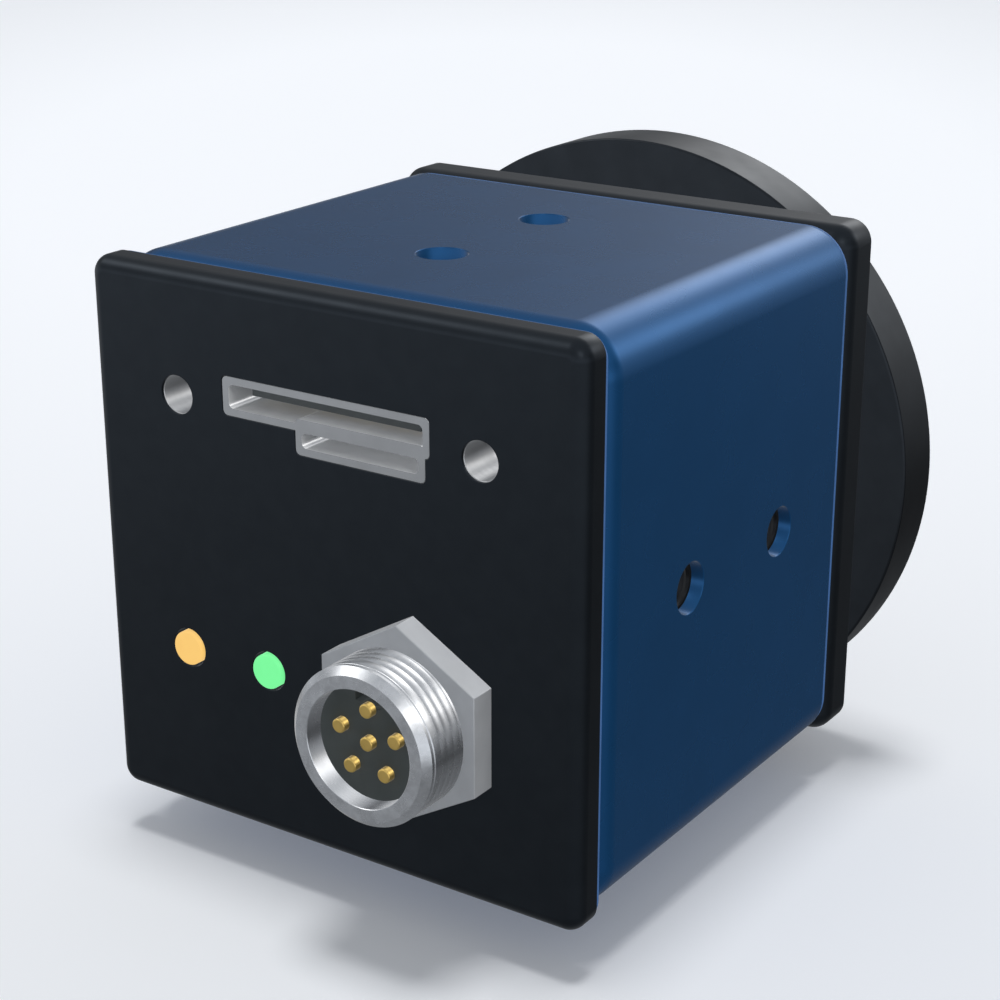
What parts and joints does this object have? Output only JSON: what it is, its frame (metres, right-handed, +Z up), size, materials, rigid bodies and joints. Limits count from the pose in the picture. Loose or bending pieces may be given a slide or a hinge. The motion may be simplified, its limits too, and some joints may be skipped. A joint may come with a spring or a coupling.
{
  "type": "machine vision camera",
  "caption": "Cubic industrial camera with lens mount and dust cap in front, USB port with jackscrew holes, round threaded connector and status lights behind, and screw holes in its sides.",
  "frame": {"origin": "centre of the lens-mount flange face, on the optical axis", "axes": "+Y is the way the camera looks, +X is to the right seen from behind, +Z is up"},
  "size_m": [0.0344, 0.0369, 0.0344],
  "materials": {
    "black_anodised": "satin black coating on aluminium",
    "blue_anodised": "dark blue anodised aluminium, satin",
    "black_frame": "black anodised aluminium, matt",
    "pale_silicone": "pale blue silicone, matt",
    "lens_ring_metal": "black anodised turned ring",
    "cap_plastic": "black moulded plastic, fine texture",
    "screw_black": "blackened steel",
    "steel": "bright steel",
    "filter_glass": "coated glass",
    "sensor_ceramic": "dark brown ceramic",
    "silicon": "polished silicon with colour filter",
    "window_glass": "clear cover glass",
    "black_rubber": "matt silicone",
    "board_green": "solder mask",
    "chip_black": "moulded epoxy",
    "thermal_grey": "soft filled silicone",
    "bare_aluminium": "milled",
    "connector_cream": "dark housing",
    "usb_metal": "dull nickel plate",
    "dark_insulator": "dark grey insulator",
    "gold": "gold plate",
    "nickel": "turned nickel-plated brass",
    "amber_lens": "clear amber light pipe",
    "green_lens": "clear green light pipe",
    "led_white": "small lamp body"
  },
  "bodies": {
    "camera": {"rear_cover": "black_anodised", "rear_gasket": "pale_silicone", "front_gasket": "pale_silicone", "body_sleeve": "blue_anodised", "front_cover": "black_anodised", "lens_mount_ring": "lens_ring_metal", "case_screws": "screw_black", "inner_frame": "black_frame", "sensor_holder": "black_frame", "filter_glass": "filter_glass", "filter_retaining_ring": "lens_ring_metal", "sensor_package": "sensor_ceramic", "sensor_die": "silicon", "sensor_window": "window_glass", "sensor_gasket": "black_rubber", "interface_board": "board_green", "main_board": "board_green", "sensor_board": "board_green", "board_spacers_rear": "steel", "board_spacers_mid": "steel", "board_spacers_front": "steel", "board_screws": "steel", "processor_chip": "chip_black", "thermal_pad": "thermal_grey", "heat_spreader": "bare_aluminium", "memory_chips": "chip_black", "board_connectors": "connector_cream", "board_parts": "connector_cream", "usb_shell": "usb_metal", "usb_insulator": "dark_insulator", "usb_contacts": "gold", "jackscrew_inserts": "nickel", "io_connector_shell": "nickel", "io_connector_insulator": "dark_insulator", "io_connector_pins": "gold", "io_connector_nut": "nickel", "io_connector_seal": "black_rubber", "light_pipe_amber": "amber_lens", "light_pipe_green": "green_lens", "status_leds": "led_white"},
    "cap": {"dust_cap": "cap_plastic"}
  },
  "joints": [
    {"name": "cap_slide", "type": "slide", "parent": "camera", "child": "cap", "axis": [0, 1, 0], "range_m": [0, 0.06]}
  ]
}
